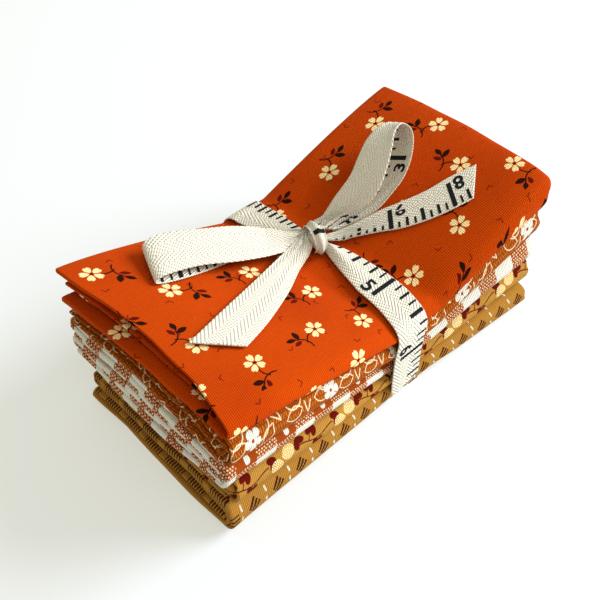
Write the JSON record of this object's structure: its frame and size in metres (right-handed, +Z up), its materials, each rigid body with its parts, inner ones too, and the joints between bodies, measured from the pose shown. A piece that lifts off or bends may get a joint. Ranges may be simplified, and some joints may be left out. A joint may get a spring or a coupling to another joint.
{
  "type": "tied bundle of folded fat quarters",
  "caption": "Stack of folded printed cotton cloths squeezed at the waist by a herringbone twill tape that is tied on top in a bow with loops and cut tails.",
  "frame": {"origin": "on the surface that the bundle rests on, under the middle of its bounding box", "axes": "+X along the bundle's long sides, +Y across it to the side where the cloths' edges lie, +Z up"},
  "size_m": [0.1344, 0.0732, 0.0602],
  "materials": {
    "cloth_1_sprig": "rust orange plain weave cotton with tossed small cream flower sprigs",
    "cloth_2_leaf": "brown rust plain weave cotton with golden dashes, cream leaf outlines and white flowers",
    "cloth_3_check": "plain weave cotton in blocks of white and mottled rust, with white dashes",
    "cloth_4_vine": "golden tan plain weave cotton with a dark red vine, leaves and cream dotted rounds",
    "cloth_5_stroke": "golden brown plain weave cotton with groups of dark strokes and white running dashes",
    "tape_bow": "natural cream herringbone twill tape, one side printed with plain inch marks and numbers"
  },
  "bodies": {
    "root": {"cloth_1_sprig": "cloth_1_sprig", "cloth_2_leaf": "cloth_2_leaf", "cloth_3_check": "cloth_3_check", "cloth_4_vine": "cloth_4_vine", "cloth_5_stroke": "cloth_5_stroke", "tape_bow": "tape_bow"}
  },
  "joints": []
}
